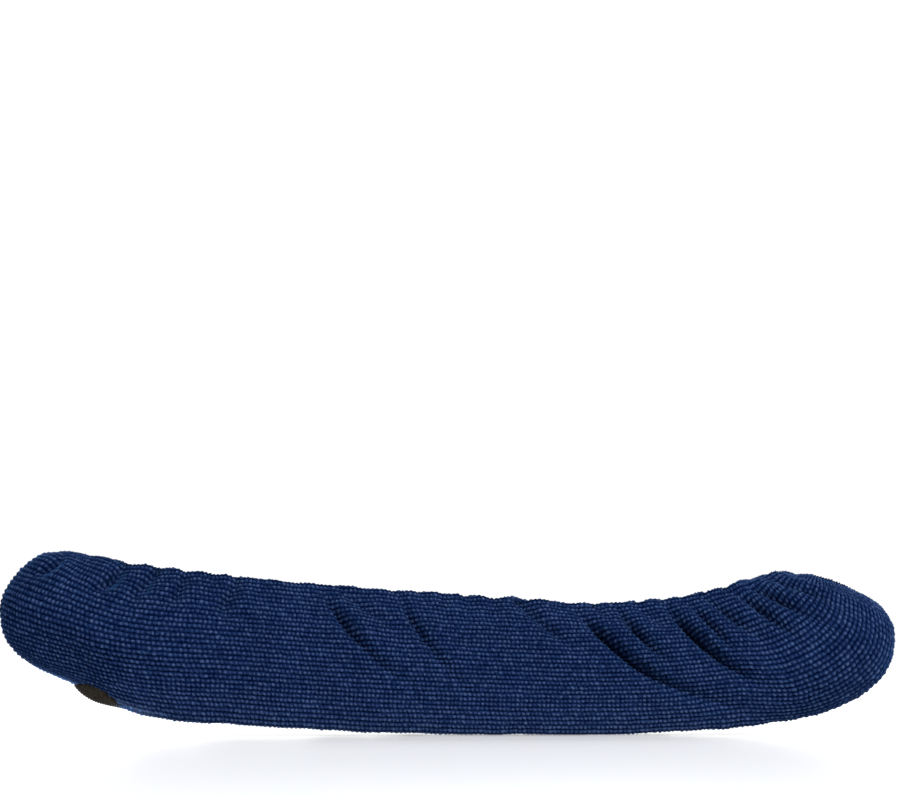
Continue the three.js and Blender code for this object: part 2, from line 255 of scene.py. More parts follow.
def locate(xz):
    """The s and t at which the side view of the cover reaches each (x, z)."""
    low, high = np.zeros(xz.shape[:-1]), np.ones(xz.shape[:-1])
    for _ in range(HALVINGS):
        s = (low + high) / 2
        edge, rim = spline(EDGE, s), spline(RIM, s)
        up, to = rim - edge, xz - edge
        ahead = up[..., 0] * to[..., 1] - up[..., 1] * to[..., 0] < 0
        low, high = np.where(ahead, s, low), np.where(ahead, high, s)
    edge, rim = spline(EDGE, low), spline(RIM, low)
    up = rim - edge
    t = ((xz - edge) * up).sum(-1) / (up * up).sum(-1)
    return low, np.clip(t, 0, 1)


def lengths(points):
    """Distance along a line of points, from its start to each point."""
    steps = np.linalg.norm(np.diff(points, axis=-2), axis=-1)
    return np.concatenate([np.zeros(steps.shape[:-1] + (1,)), np.cumsum(steps, axis=-1)], axis=-1)


def resample(points, at):
    """Points of one line at the given distances along it."""
    along = lengths(points)
    return np.stack([np.interp(at, along, points[:, k]) for k in range(points.shape[1])], axis=-1)


def outline(q_from, q_to, count=600):
    """Part of the side view's outline: q runs 0 to 1 along the lower edge, then 1 to 2 back along the rim."""
    q = np.linspace(q_from, q_to, count)
    below = (q <= 1)[:, None]
    return np.where(below, spline(EDGE, np.minimum(q, 1)), spline(RIM, np.minimum(2 - q, 1)))


def reach(points, x):
    """The parameter at which a line that runs from toe to heel reaches x."""
    u = np.linspace(0, 1, FINE)
    return float(np.interp(x, spline(points, u)[:, 0], u))


def column_ends(below):
    """The (x, z) at which each of the knit's columns leaves the lower outline and meets the rim."""
    rim_x, run = COLUMN_ENDS[:, 0], COLUMN_ENDS[:, 1] * lengths(below)[-1] / COLUMN_ENDS[-1, 1]
    fine_x = np.linspace(rim_x[0], rim_x[-1], RIM_STEPS)
    fine_run = np.interp(fine_x, rim_x, run)
    padded = np.pad(fine_run, EVENED // 2, mode="reflect", reflect_type="odd")
    fine_run = np.convolve(padded, np.ones(EVENED) / EVENED, mode="valid")
    mean = (fine_x - fine_x[0] + fine_run) / 2
    share = np.arange(COLUMNS + 1) / COLUMNS
    steps = mean[-1] * (share - TOE_CLOSER * (1 - np.exp(-share / TOE_SHARE)) * (1 - share))
    bottom = resample(below, np.interp(steps, mean, fine_run))
    top_x = np.interp(steps, mean, fine_x)
    rim_line = spline(RIM, np.linspace(0, 1, FINE))
    return bottom, np.stack([top_x, np.interp(top_x, rim_line[:, 0], rim_line[:, 1])], axis=-1)


def knit_layout():
    """Where the corners of the knit's cells lie in the side view: (COLUMNS * ACROSS + 1, ROWS * UP + 1) points.
    Columns lean towards the heel as they go down, and fan out round it; along each one the rows are evenly
    spaced on the curved surface."""
    toe_corner, heel_corner = reach(EDGE, TOE_CORNER), 2 - HEEL_CORNER
    rim_toe, rim_heel = reach(RIM, COLUMN_ENDS[0, 0]), reach(RIM, COLUMN_ENDS[-1, 0])
    bottom, top = column_ends(outline(toe_corner, heel_corner, 3000))
    t = np.linspace(0, 1, 240)
    flat = bottom[:, None] * (1 - t)[None, :, None] + top[:, None] * t[None, :, None]
    toe_line = np.concatenate([outline(toe_corner, 0), spline(RIM, np.linspace(0, rim_toe, 600))])
    heel_line = outline(heel_corner, 2 - rim_heel)
    share = np.arange(COLUMNS + 1) / COLUMNS
    fans = ((toe_line, 1 - smooth(share, *TOE_FAN), 0), (heel_line, smooth(share, *HEEL_FAN), -1))
    for line, weight, end in fans:
        bent = resample(line, np.linspace(0, lengths(line)[-1], len(t)))
        flat = flat + weight[:, None, None] * (bent - flat[end])[None]
    along = lengths(side_point(*locate(flat)))
    wanted = np.linspace(0, 1, ROWS * UP + 1)
    cells = []
    for line, run in zip(flat, along):
        at = np.interp(wanted * run[-1], run, lengths(line))
        cells.append(resample(line, at))
    return spline(np.array(cells), np.linspace(0, 1, COLUMNS * ACROSS + 1))


# --- folds and gathers ---
def beside(xz, places):
    """Distance of each point from a curved line, positive on its heel side, and the share of it passed."""
    steps_to_each = 12
    line = spline(np.array(places, float), np.linspace(0, 1, steps_to_each * len(places)))
    gap = xz[..., None, :] - line
    squared = (gap * gap).sum(-1)
    nearest = squared.argmin(-1)
    ahead = np.gradient(line, axis=0)[nearest]
    to = np.take_along_axis(gap, nearest[..., None, None], axis=-2)[..., 0, :]
    side = np.sign(to[..., 1] * ahead[..., 0] - to[..., 0] * ahead[..., 1])
    return side * np.sqrt(squared.min(-1)), nearest / (len(line) - 1)


def crease(xz, places, depth, width):
    """A valley, steep on its toe side and easier on the other, with a soft ridge along each side."""
    away, passed = beside(xz, places)
    comes, goes = CREASE_FADES
    fade = smooth(passed, *comes) * (1 - smooth(passed, *goes))
    away = away / (width * (CREASE_WIDENS[0] + CREASE_WIDENS[1] * passed))
    valley = VALLEY * np.exp(-((away / np.where(away > 0, EASY, STEEP)) ** 2))
    upper = UPPER_RIDGE[0] * np.exp(-(((away - UPPER_RIDGE[1]) / UPPER_RIDGE[2]) ** 2))
    lower = LOWER_RIDGE[0] * np.exp(-(((away + LOWER_RIDGE[1]) / LOWER_RIDGE[2]) ** 2))
    return depth * fade * (upper + lower - valley)


def swell(xz, places, height, width):
    """A broad rounded ridge that fades out at both ends."""
    away, passed = beside(xz, places)
    comes, goes = SWELL_FADES
    return height * np.exp(-((away / width) ** 2)) * smooth(passed, *comes) * (1 - smooth(passed, *goes))


def ripple(xz, seed, length, count=14):
    """A smooth random field of about unit size, with waves about the given length apart."""
    random = np.random.default_rng(seed)
    total = np.zeros(xz.shape[:-1])
    for _ in range(count):
        angle, size = random.uniform(0, math.pi), random.uniform(0.75, 1.35)
        wave = 2 * math.pi / (length * size) * np.array([math.cos(angle), math.sin(angle)])
        total += np.cos(xz @ wave + random.uniform(0, 2 * math.pi))
    return total / math.sqrt(count / 2)


def relief(xz, drop, seed):
    """How far the cloth stands out from the smooth cover. drop is the distance below the mouth's edge."""
    total = sum(height * ripple(xz, seed + k, length) for k, (height, length) in enumerate(WAVES))
    shifted = xz + np.array([SEED_SHIFT * seed, 0])
    flattened = HEM_FOLDS + (1 - HEM_FOLDS) * smooth(drop, *HEM_BAND)
    for line in CREASES:
        total += flattened * crease(shifted, *line)
    for line in SWELLS:
        total += swell(shifted, *line)
    x = xz[..., 0]
    gathers = np.sin(2 * math.pi * x / GATHER_PITCH + 2.2 * np.sin(x / 13 + seed))
    uneven = 0.6 + 0.4 * np.sin(x / 21 + 1)
    return total + GATHER * gathers * uneven * np.exp(-((drop / GATHER_DROP) ** 2))


def normals(points):
    """Outward unit normals of a grid of points on the far half of the cover."""
    out = -np.cross(np.gradient(points, axis=0), np.gradient(points, axis=1))
    return out / np.maximum(np.linalg.norm(out, axis=-1, keepdims=True), 1e-9)


# --- meshes ---
def mesh_object(name, points, faces):
    """A smooth-shaded object from points in mm."""
    mesh = bpy.data.meshes.new(name)
    mesh.from_pydata((np.asarray(points) * MM).tolist(), [], faces)
    mesh.polygons.foreach_set("use_smooth", np.ones(len(mesh.polygons), dtype=bool))
    mesh.update()
    obj = bpy.data.objects.new(name, mesh)
    bpy.context.scene.collection.objects.link(obj)
    return obj


def shell_faces(fine_shape, coarse_shape):
    """Faces that join a fine grid of points to a coarser one behind it, as one closed shell."""
    (ni, nj), (mi, mj) = fine_shape, coarse_shape
    ci, cj = (ni - 1) // (mi - 1), (nj - 1) // (mj - 1)
    front_at = np.arange(ni * nj).reshape(ni, nj)
    back_at = np.arange(mi * mj).reshape(mi, mj) + ni * nj
    quads = [
        np.stack([front_at[:-1, :-1], front_at[1:, :-1], front_at[1:, 1:], front_at[:-1, 1:]], axis=-1),
        np.stack([back_at[:-1, :-1], back_at[:-1, 1:], back_at[1:, 1:], back_at[1:, :-1]], axis=-1),
    ]
    faces = [face for part in quads for face in part.reshape(-1, 4).tolist()]
    for k in range(mi - 1):
        span = slice(k * ci, (k + 1) * ci + 1)
        faces.append(front_at[span, 0][::-1].tolist() + [back_at[k, 0], back_at[k + 1, 0]])
        faces.append(front_at[span, -1].tolist() + [back_at[k + 1, -1], back_at[k, -1]])
    for k in range(mj - 1):
        span = slice(k * cj, (k + 1) * cj + 1)
        faces.append(front_at[0, span].tolist() + [back_at[0, k + 1], back_at[0, k]])
        faces.append(front_at[-1, span][::-1].tolist() + [back_at[-1, k], back_at[-1, k + 1]])
    return faces


def closed_cloth(name, front, back, mirror=1, pile=None, inward=False):
    """One closed mesh between a fine grid of points (mm) and a coarser grid behind it. The fine one faces
    opposite to the cross product of its two directions, or along it if inward. A mirror of -1 turns the piece
    over to the near side. The pile's heights, with any painted edge light added, become the shade that the
    colour follows: painted shade in the gaps of the pile, painted highlights on its tips."""
    faces = shell_faces(front.shape[:2], back.shape[:2])
    if (mirror > 0) != inward:
        faces = [face[::-1] for face in faces]
    points = np.concatenate([front.reshape(-1, 3), back.reshape(-1, 3)]) * np.array([1, mirror, 1])
    obj = mesh_object(name, points, faces)
    if pile is not None:
        shade = np.concatenate([pile.reshape(-1), np.full(back.shape[0] * back.shape[1], PLAIN_CLOTH)])
        obj.data.attributes.new("pile", "FLOAT", "POINT").data.foreach_set("value", shade.astype(np.float32))
    return obj


def thread_mesh(name, lines, radius, sides=6, blunt=0.45):
    """Threads along lines of points (mm), each rounded off at its ends, as one mesh."""
    points, faces = [], []
    askew = [0.31, 0.17, 0.93]  # a fixed direction to measure round from
    for line in lines:
        line = np.asarray(line, float)
        ahead = np.gradient(line, axis=0)
        ahead /= np.linalg.norm(ahead, axis=1, keepdims=True)
        across = np.cross(ahead, askew)
        across /= np.linalg.norm(across, axis=1, keepdims=True)
        over = np.cross(ahead, across)
        size = np.full(len(line), radius)
        size[[0, -1]] *= blunt
        start = len(points)
        for k in range(sides):
            angle = 2 * math.pi * k / sides
            points.extend(line + (across * math.cos(angle) + over * math.sin(angle)) * size[:, None])
        at = start + np.arange(sides * len(line)).reshape(sides, len(line))
        for k in range(sides):
            low, high = at[k], at[(k + 1) % sides]
            faces.extend(np.stack([low[:-1], low[1:], high[1:], high[:-1]], axis=-1).tolist())
        faces.append(at[:, 0].tolist())
        faces.append(at[::-1, -1].tolist())
    return mesh_object(name, np.array(points), faces)


def stitch_lines(line, pitch, share, end_dip):
    """Separate stitches along a line: each has a share of the pitch, and dips into the cloth at its ends."""
    places, dips = np.array([0.0, 0.12, 0.5, 0.88, 1.0]), [1, 0.35, 0, 0.35, 1]
    stitches = []
    for k in range(int(lengths(line)[-1] / pitch)):
        stitch = resample(line, (k + places * share) * pitch)
        stitches.append(stitch + np.outer(dips, end_dip))
    return stitches


def tuft(phase):
    """Height of the pile across one cell, 0 in the gap and 1 in the middle."""
    return np.sqrt(np.clip(0.5 - 0.5 * np.cos(2 * math.pi * phase), 0, 1))


def blurred(random, columns, rows, i, j):
    """Random values from 0 to 1 at each cell, blended between them at the places i, j."""
    value = random.uniform(0, 1, size=(columns + 1, rows + 1))
    ci, cj = i.astype(int), j.astype(int)
    wi, wj = smooth(i - ci, 0, 1)[:, None], smooth(j - cj, 0, 1)[None, :]
    near = value[ci][:, cj] * (1 - wj) + value[ci][:, cj + 1] * wj
    far = value[ci + 1][:, cj] * (1 - wj) + value[ci + 1][:, cj + 1] * wj
    return near * (1 - wi) + far * wi


def knit_height(ni, nj, seed):
    """Height of the pile at each point of a knit grid: rows of tufts, each a little different."""
    random = np.random.default_rng(seed)
    columns, rows = ni // ACROSS + 3, nj // UP + 3
    i, j = np.arange(ni) / ACROSS, np.arange(nj) / UP
    across = j[None, :] + 1 + WANDER * (blurred(random, columns, rows, i, j) - 0.5)
    row = across.astype(int)
    along = i[:, None] + 1 + random.uniform(-ROW_SHIFT, ROW_SHIFT, rows)[row]
    along = np.maximum(along + 2 * WANDER * (blurred(random, columns, rows, i, j) - 0.5), 0)
    own = random.uniform(*TUFT_SIZES, size=(columns + 2, rows))[along.astype(int), row]
    fuzz = random.normal(0, TUFT_FUZZ, size=(ni, nj))
    return tuft(across) * (BRIDGE + (1 - BRIDGE) * tuft(along)) * own + fuzz


# --- the two sides ---
def turned_edge(front, back, onward, bulge):
    """Points round the edge of a cloth, from just past front to back."""
    centre, arm = (front + back) / 2, (front - back) / 2
    onward = onward / np.linalg.norm(onward, axis=-1, keepdims=True)
    radius = np.linalg.norm(arm, axis=-1, keepdims=True) * bulge
    turns = [math.pi * k / ROLL for k in range(1, ROLL + 1)]
    return np.stack([centre + arm * math.cos(a) + onward * radius * math.sin(a) for a in turns], axis=1)


def off_middle(points):
    """Holds points of the far half back from the middle plane."""
    points[..., 1] = np.maximum(points[..., 1], 0)
    return points


def deepest_beside(relief_there, reaches):
    """The lowest relief within the given numbers of faces along each direction of the grid."""
    for axis, reach_each_way in enumerate(reaches):
        pad = [(reach_each_way, reach_each_way) if k == axis else (0, 0) for k in range(2)]
        padded = np.pad(relief_there, pad, mode="edge")
        spans = np.lib.stride_tricks.sliding_window_view(padded, 2 * reach_each_way + 1, axis=axis)
        relief_there = spans.min(axis=-1)
    return relief_there


def hang(x):
    """How far the lower edge's pile hangs down over the side of the webbing."""
    most, less = 1.35, 0.6
    return most * smooth(x, -139, -122) * (1 - less * smooth(x, -84, -56))


def painted_edge_light(whole, base):
    """Painted light: how much paler the pile is painted near the lower edge and the ends, with the fringe under
    the toe, for light bounced up from the table and rim light on the fuzz.
    """
    above_edge = np.linalg.norm(whole - base[:, :1], axis=-1)
    from_ends = np.minimum(*(np.linalg.norm(whole - whole[[end]], axis=-1) for end in (0, -1)))
    paler = sum(size * np.exp(-((above_edge / span) ** 2)) for size, span in PAINTED_EDGE_LIGHT)
    paler += PAINTED_END_LIGHT[0] * np.exp(-((from_ends / PAINTED_END_LIGHT[1]) ** 2))
    return paler + PAINTED_FRINGE_LIGHT[0] * np.exp(-((above_edge / PAINTED_FRINGE_LIGHT[1]) ** 4)) * smooth(-whole[..., 0], *PAINTED_FRINGE_TOE)


def side_panel(name, mirror, seed):
    """One terry side: knit outside, turned over at the rim and the lower edge, and plain inside."""
    s, t = locate(knit_layout())
    base = side_point(s, t)
    above_edge = np.linalg.norm(base - base[:, :1], axis=-1)
    base[..., 2] -= hang(base[..., 0]) * np.exp(-((above_edge / HANG_REACH) ** 2))
    inside = base - CLOTH * normals(base)
    rim_turn = turned_edge(base[:, -1], inside[:, -1], base[:, -1] - base[:, -2], 1.0)
    lower_turn = turned_edge(base[:, 0], inside[:, 0], base[:, 0] - base[:, 1], 0.6)[:, ::-1]
    whole = np.concatenate([lower_turn, base, rim_turn], axis=1)
    drop = np.linalg.norm(whole - base[:, -1:], axis=-1)
    outward = normals(whole)
    folds = relief(whole[..., [0, 2]], drop, seed)
    folded = off_middle(whole + outward * folds[..., None])
    pile = knit_height(*folded.shape[:2], seed)
    front = off_middle(folded + normals(folded) * (PILE * pile - PILE_SUNK)[..., None])
    front[..., 2] = np.maximum(front[..., 2], LOWEST)
    edge = 2  # how far the back's first and last rows keep from the cloth's own edges, in faces
    rows = np.clip(np.arange(0, whole.shape[1], UP) - ROLL, edge, ROWS * UP - edge)
    deep_folds = deepest_beside(folds, (ACROSS, UP))[..., None] * outward
    back = inside[::ACROSS, rows] + deep_folds[::ACROSS, rows + ROLL]
    # The pile's heights give the painted shade in the gaps and the painted highlights on the tips; the painted
    # edge light is added to them.
    return closed_cloth(name, front, off_middle(back), mirror, pile + painted_edge_light(whole, base))


# --- the hem inside the mouth ---
HEM_SHARE = 0.72  # the hem ends this share of MOUTH_TAPER from the ends of the mouth
HEM_TOE, HEM_HEEL = MOUTH_TOE + HEM_SHARE * MOUTH_TAPER, MOUTH_HEEL - HEM_SHARE * MOUTH_TAPER
HEM_COLUMNS, HEM_ROWS = 128, 6
HEM_JOINED = 0.4  # the share of the facing's section that goes over into the rim
HEM_PILE = 0.5
HEM_DEPTH = 4.4  # of the middle of the hem inside the cover's surface
HEM_STEP, HEM_WINDOW, HEM_BEYOND = 0.4, 11, 8  # step, steps taken together, and length beyond the hem's ends
HEM_LEVELS = np.linspace(0, 13, 14)  # the distances below the rim at which its waves look at the folds
ELASTIC_COLUMNS, ELASTIC_ROWS, ELASTIC_INSET = 110, 6, 4
ELASTIC_RIBS, ELASTIC_RIB = 6, 0.1  # number and height
# Sections of the hem's layers, as (distance below the rim, depth inside the cover's surface).
FACING_FRONT = np.array([
    (9.6, 7.3), (7, 6.3), (4, 6.1), (1.6, 6.0), (0.3, 5.4), (-0.4, 4.4), (-0.6, 3.0), (-0.2, 1.6),
])
FACING_BACK = np.array([
    (9.4, 6.3), (7, 5.2), (4, 4.8), (1.6, 4.7), (0.9, 4.3), (0.6, 3.5), (0.5, 2.6), (0.5, 1.7),
])
ELASTIC_FRONT = np.array([(6, 4.6), (4.5, 4.5), (3, 4.4), (1.6, 4.3)])
ELASTIC_BACK = np.array([(6, 3.9), (4.5, 3.7), (3, 3.5), (1.6, 3.4)])
HEM_STITCH_LINE = np.array([(8.3, 6.95), (8.2, 6.95), (8.1, 6.95)])


def rim_place(x):
    """The parameter of the rim at each x, and the height of the side there."""
    u = np.linspace(0, 1, FINE)
    s = np.interp(x, spline(RIM, u)[:, 0], u)
    return s, np.linalg.norm(spline(RIM, s) - spline(EDGE, s), axis=-1)


def windows(values, count):
    """A window of count values round each value."""
    return np.lib.stride_tricks.sliding_window_view(np.pad(values, count // 2, mode="edge"), count)


def hem_waves(x, seed):
    """How far the hem waves in and out at each x, and how far the rim does. The hem lies as deep as the deepest
    fold beside it, evened out."""
    fine = np.arange(HEM_TOE - HEM_BEYOND, HEM_HEEL + HEM_BEYOND, HEM_STEP)
    s, tall = rim_place(fine)
    beside_hem = side_point(s[:, None] + 0 * HEM_LEVELS, 1 - HEM_LEVELS / tall[:, None])
    folds = relief(beside_hem[..., [0, 2]], HEM_LEVELS + 0 * s[:, None], seed)
    deepest = windows(folds.min(axis=1), HEM_WINDOW).min(axis=1)
    wave = windows(deepest, HEM_WINDOW).mean(axis=1)
    return np.interp(x, fine, wave), np.interp(x, fine, folds[:, 0])


def hem_grid(section, columns, rows, seed, joined=0.0, inset=0.0):
    """Points of one face of a hem layer, on the far half, from toe to heel and up the section. The last share
    of the section, joined, goes over into the rim of the terry side."""
    x = np.linspace(HEM_TOE + inset, HEM_HEEL - inset, columns + 1)
    s, tall = (value[:, None] + np.zeros((1, rows + 1)) for value in rim_place(x))
    wave, rim_wave = (value[:, None] for value in hem_waves(x, seed))
    drop, depth = spline(section, np.linspace(0, 1, rows + 1)).T
    to_rim = smooth(np.linspace(0, 1, rows + 1), 1 - joined, 1) if joined else 0
    outward = outward_at(s, 1 - (drop + HEM_DEPTH) / tall)
    shift = wave * (1 - to_rim) + rim_wave * to_rim
    return side_point(s, 1 - drop / tall, depth) + outward * shift[..., None]


def hem_facing(name, mirror, seed):
    """The terry turned inside the mouth, with its pile towards the blade."""
    front = hem_grid(FACING_FRONT, HEM_COLUMNS * ACROSS, HEM_ROWS * UP, seed, joined=HEM_JOINED)
    pile = knit_height(*front.shape[:2], seed + 10)
    front = front - normals(front) * (HEM_PILE * pile)[..., None]
    back = hem_grid(FACING_BACK, HEM_COLUMNS, HEM_ROWS, seed, joined=HEM_JOINED)
    return closed_cloth(name, front, back, mirror, pile, inward=True)


def hem_elastic(name, mirror, seed):
    """The elastic band, ribbed lengthwise."""
    rows = 4 * ELASTIC_ROWS
    front = hem_grid(ELASTIC_FRONT, 4 * ELASTIC_COLUMNS, rows, seed, inset=ELASTIC_INSET)
    rib = np.cos(2 * math.pi * ELASTIC_RIBS * np.arange(rows + 1) / rows)
    front = front - normals(front) * (ELASTIC_RIB * rib)[None, :, None]
    back = hem_grid(ELASTIC_BACK, ELASTIC_COLUMNS, ELASTIC_ROWS, seed, inset=ELASTIC_INSET)
    return closed_cloth(name, front, back, mirror, inward=True)


def hem_stitching(name, mirror, seed):
    """The stitches near the facing's lower edge."""
    pitch, share, dip, radius = 3.3, 0.72, 0.45, 0.24
    line = hem_grid(HEM_STITCH_LINE, 600, 2, seed, inset=1)[:, 1] * np.array([1, mirror, 1])
    return thread_mesh(name, stitch_lines(line, pitch, share, (0, dip * mirror, 0)), radius)


# --- the strip and the lining under the blade ---
def sole_height(x):
    """Height of the sole strip's underside along its middle."""
    line = spline(SOLE_PROFILE, np.linspace(0, 1, FINE))
    return np.maximum(0, np.interp(x, line[:, 0], line[:, 1]))


def underside(x, y):
    """Height of the terry side's outer surface over the places x, y (y above 0)."""
    u, highest = np.linspace(0, 1, 500), 0.3
    s = np.interp(x, spline(EDGE, u)[:, 0], u)
    low, high = np.zeros(np.shape(s)), np.full(np.shape(s), highest)
    for _ in range(HALVINGS):
        t = (low + high) / 2
        short = side_point(s, t)[..., 1] < y
        low, high = np.where(short, t, low), np.where(short, high, t)
    return side_point(s, low)[..., 2]


def sole_lift(x, y):
    """How far the layers under the blade curl up towards the undersides of the terry sides."""
    curl = smooth(np.abs(y) / np.maximum(strip_width(x), 1), *CURL)
    room = underside(x, np.abs(y)) - sole_height(x) - WEBBING
    return np.maximum(CROWN_HEIGHT, room) * curl


def lining_width(x):
    """Half-width of the lining."""
    start, full = (SOLE_TOE + distance for distance in LINING_WIDENS)
    return sole_width(x) - LINING_INSET + (LINING_INSET + LINING_OVER) * smooth(x, start, full)


def sole_grid(x, share, half_width, height):
    """Points at each x and at each share of the half-width there, at a height above the strip's underside."""
    x = x[:, None] + 0 * share[None, :]
    y = share[None, :] * half_width(x)
    return np.stack([x, y, sole_height(x) + sole_lift(x, y) + height], axis=-1)


def sole_strip():
    """Ribbed webbing, with the fine grid and its ribs on the underside."""
    columns, rows, finer, closer_at_toe = 240, 6, 4, 1.1
    rib_pitch, rib_height, warp_share = 0.9, 0.32, 0.3
    along = np.linspace(0, 1, columns * finer + 1) ** closer_at_toe
    x = SOLE_TOE + STRIP_FROM + (SOLE_HEEL - SOLE_TOE - STRIP_SHORTER) * along
    share = np.linspace(-1, 1, rows * finer + 1)
    front = sole_grid(x, share, strip_width, 0)
    back = sole_grid(x[::finer], share[::finer], strip_width, WEBBING)
    warp = 0.5 + 0.5 * np.cos(math.pi * np.arange(rows * finer + 1))[None, :]
    rib = np.abs(np.sin(math.pi * x / rib_pitch))[:, None]
    front[..., 2] += rib_height * (1 - rib * (1 - warp_share + warp_share * warp))
    return closed_cloth("sole_webbing", front, back)


def sole_terry():
    """The terry on which the blade stands."""
    columns, rows, pile_foot = 160, 10, 0.5
    x = np.linspace(SOLE_TOE + LINING_FROM, SOLE_HEEL - LINING_TO, columns * ACROSS + 1)
    share = np.linspace(1, -1, rows * UP + 1)
    front = sole_grid(x, share, lining_width, WEBBING + LINING_LIFT + TERRY - pile_foot)
    pile = knit_height(*front.shape[:2], 31)
    front = front + normals(front) * (PILE * pile)[..., None]
    back = sole_grid(x[::ACROSS], share[::UP], lining_width, WEBBING + LINING_LIFT)
    return closed_cloth("sole_terry_lining", front, back, pile=pile)


def sole_stitching(name, mirror):
    """One of the two lines of stitches that show on the strip's underside."""
    pitch, share, dip, proud, radius = 3.2, 0.7, 0.35, 0.08, 0.26
    x = np.linspace(SOLE_TOE + SOLE_STITCH_FROM, SOLE_HEEL - SOLE_STITCH_TO, 800)
    y = mirror * SOLE_STITCH_OUT + 0 * x
    line = np.stack([x, y, sole_height(x) + sole_lift(x, y) - proud], axis=-1)
    return thread_mesh(name, stitch_lines(line, pitch, share, (0, 0, dip)), radius)


# --- the seams inside the toe and heel ---
TOE_SEAM = np.concatenate([
    spline(RIM, np.array([0.19, 0.155, 0.12, 0.09, 0.06])),
    [[-TIP, 43]],
    spline(EDGE, np.array([0.06, 0.09, 0.125, 0.175, 0.235])),
])
HEEL_SEAM = np.concatenate([
    spline(EDGE, np.array([0.805, 0.845, 0.885, 0.915, 0.945])),
    [[TIP, 37.5]],
    spline(RIM, np.array([0.945, 0.915, 0.885, 0.84, 0.8])),
])
# A seam allowance's section, as (distance from the middle plane, depth inside the cover).
SEAM_SECTION = np.array([
    (1.0, 2.8), (1.0, 4.4), (1.0, 6.2), (0.7, 7.4), (0, 7.8),
    (-0.7, 7.4), (-1.0, 6.2), (-1.0, 4.4), (-1.0, 2.8),
])
SEAM_COLUMN = 1.8  # length of one column of tufts
SEAM_PILE, SEAM_SUNK = 0.25, 0.15
SEAM_CORE = SEAM_SECTION * np.array([0.3, 0.9]) + np.array([0, 0.25])  # of the coarse grid inside it


def seam_grid(outline_points, section, columns, rows):
    """Points along a seam, and round its section at each of them."""
    line = spline(outline_points, np.linspace(0, 1, 1200))
    at = np.linspace(0, lengths(line)[-1], columns + 1)
    line = resample(line, at)
    ahead = np.gradient(line, axis=0)
    ahead /= np.linalg.norm(ahead, axis=1, keepdims=True)
    inward = np.stack([-ahead[:, 1], ahead[:, 0]], axis=-1)
    y, depth = spline(section, np.linspace(0, 1, rows + 1)).T
    place = line[:, None] + inward[:, None] * depth[None, :, None]
    return np.stack([place[..., 0], np.broadcast_to(y, place.shape[:2]), place[..., 1]], axis=-1)


def seam_allowance(name, outline_points, seed):
    """The two cloth edges of a seam, sewn flat together."""
    columns = int(lengths(outline_points)[-1] / SEAM_COLUMN)
    front = seam_grid(outline_points, SEAM_SECTION, columns * ACROSS, 6 * UP)
    pile = knit_height(*front.shape[:2], seed)
    front = front + normals(front) * (SEAM_PILE * pile - SEAM_SUNK)[..., None]
    back = seam_grid(outline_points, SEAM_CORE, columns, 6)
    return closed_cloth(name, front, back, pile=pile)


def overlock(name, outline_points):
    """Thread that wraps the edge of a seam allowance."""
    pitch, steps, middle, deep, wide, radius = 2.3, 10, 6.6, 1.45, 1.2, 0.2
    wraps = int(lengths(outline_points)[-1] / pitch)
    surface = np.array([(0, 0), (0, 0.01), (0, 0.02)])
    fine = seam_grid(outline_points, surface, wraps * steps, 1)[:, 0][:, [0, 2]]
    ahead = np.gradient(fine, axis=0)
    ahead /= np.linalg.norm(ahead, axis=1, keepdims=True)
    inward = np.stack([-ahead[:, 1], ahead[:, 0]], axis=-1)
    phase = 2 * math.pi * np.arange(len(fine)) / steps
    place = fine + inward * (middle + deep * np.cos(phase))[:, None]
    line = np.stack([place[:, 0], wide * np.sin(phase), place[:, 1]], axis=-1)
    return thread_mesh(name, [line], radius)


def bartack(name, x, drop):
    """A block of tight stitches across the end of the mouth."""
    random = np.random.default_rng(7)
    half_length, half_width, pitch, slant, crown, radius = 1.9, 2.4, 0.38, 0.06, 0.45, 0.24
    z = spline(RIM, np.array([reach(RIM, x)]))[0, 1] - drop
    lines = []
    for k in range(11):
        at = x - half_length + pitch * k
        y = np.linspace(-half_width, half_width, 7) + random.uniform(-0.1, 0.1)
        lift = z + crown * np.cos(y / half_width * 1.5) + random.uniform(-0.06, 0.06)
        lines.append(np.stack([at + slant * y, y, lift], axis=-1))
    for y in (-half_width / 2, 0, half_width / 2):
        lines.append([(x - half_length, y, z + 0.1), (x, y, z + 0.15), (x + half_length, y, z + 0.1)])
    return thread_mesh(name, lines, radius)


# --- materials ---
def new_material(name, roughness):
    """A material with its node tree and its shader."""
    material = bpy.data.materials.new(name)
    material.use_nodes = True
    shader = material.node_tree.nodes["Principled BSDF"]
    shader.inputs["Roughness"].default_value = roughness
    return material, material.node_tree, shader


def node(tree, kind, links=(), **settings):
    """A new node with its sockets or properties set, and links given as (socket name, other node's output)."""
    made = tree.nodes.new(kind)
    for key, value in settings.items():
        if key in made.inputs:
            made.inputs[key].default_value = value
        else:
            setattr(made, key, value)
    for socket, source in links:
        tree.links.new(source, made.inputs[socket])
    return made


def set_ramp(ramp, stops):
    """stops are (position, linear red, green, blue)."""
    elements = ramp.color_ramp.elements
    while len(elements) < len(stops):
        elements.new(0.5)
    for element, (position, *colour) in zip(elements, stops):
        element.position, element.color = position, (*colour, 1)


def set_sockets(target, **values):
    """Sets sockets by name, with a _ for each space."""
    for name, value in values.items():
        target.inputs[name.replace("_", " ")].default_value = value


